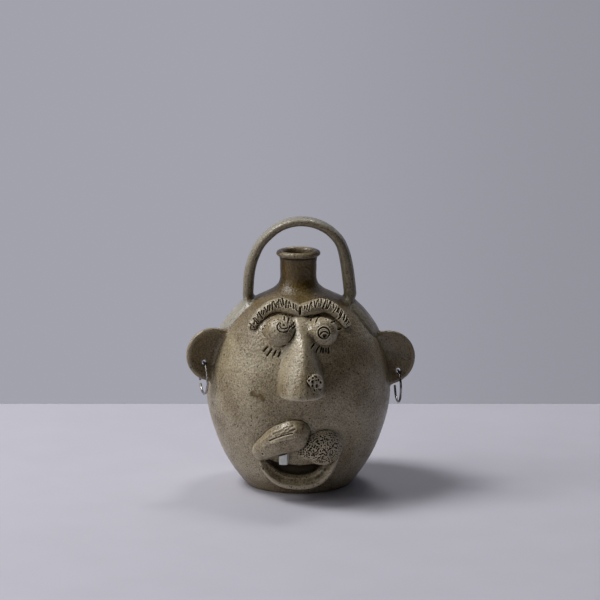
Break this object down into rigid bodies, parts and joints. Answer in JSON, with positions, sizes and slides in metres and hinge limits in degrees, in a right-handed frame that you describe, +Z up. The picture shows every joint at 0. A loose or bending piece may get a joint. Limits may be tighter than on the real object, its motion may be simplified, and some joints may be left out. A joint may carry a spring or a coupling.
{
  "type": "face jug",
  "caption": "Stoneware jug with a strap handle over its mouth, a comic face stuck on in clay and wire hoops in its pierced ears.",
  "frame": {"origin": "centre of the flat foot, on the surface that the jug stands on", "axes": "+Z up along the jug's axis, -Y where the face looks, +X to the viewer's right"},
  "size_m": [0.2124, 0.197, 0.2509],
  "materials": {
    "stoneware": "salt-glazed grey-brown stoneware, orange-peel skin with iron specks",
    "handle_glaze": "salt-glazed stoneware with a pale grey-green bloom on its outer side",
    "white_glaze": "glossy off-white glaze",
    "bright_wire": "polished round steel wire"
  },
  "bodies": {
    "jug": {"jug_body": "stoneware", "handle": "handle_glaze", "ear_left": "stoneware", "ear_right": "stoneware", "brow": "stoneware", "eye_left": "stoneware", "eye_right": "stoneware", "nose": "stoneware", "nose_wart": "stoneware", "upper_lip_left": "stoneware", "upper_lip_right": "stoneware", "lower_lip": "stoneware", "tooth": "white_glaze"},
    "hoop_left": {"earring_left": "bright_wire"},
    "hoop_right": {"earring_right": "bright_wire"}
  },
  "joints": [
    {"name": "hoop_left_swing", "type": "hinge", "parent": "jug", "child": "hoop_left", "pos_m": [-0.08742, -0.02473, 0.11909], "axis": [-0.2588, 0.9659, 0], "range_deg": [-7, 130]},
    {"name": "hoop_right_swing", "type": "hinge", "parent": "jug", "child": "hoop_right", "pos_m": [0.09243, -0.00397, 0.10681], "axis": [0.165, -0.9863, 0], "range_deg": [-10, 130]}
  ]
}
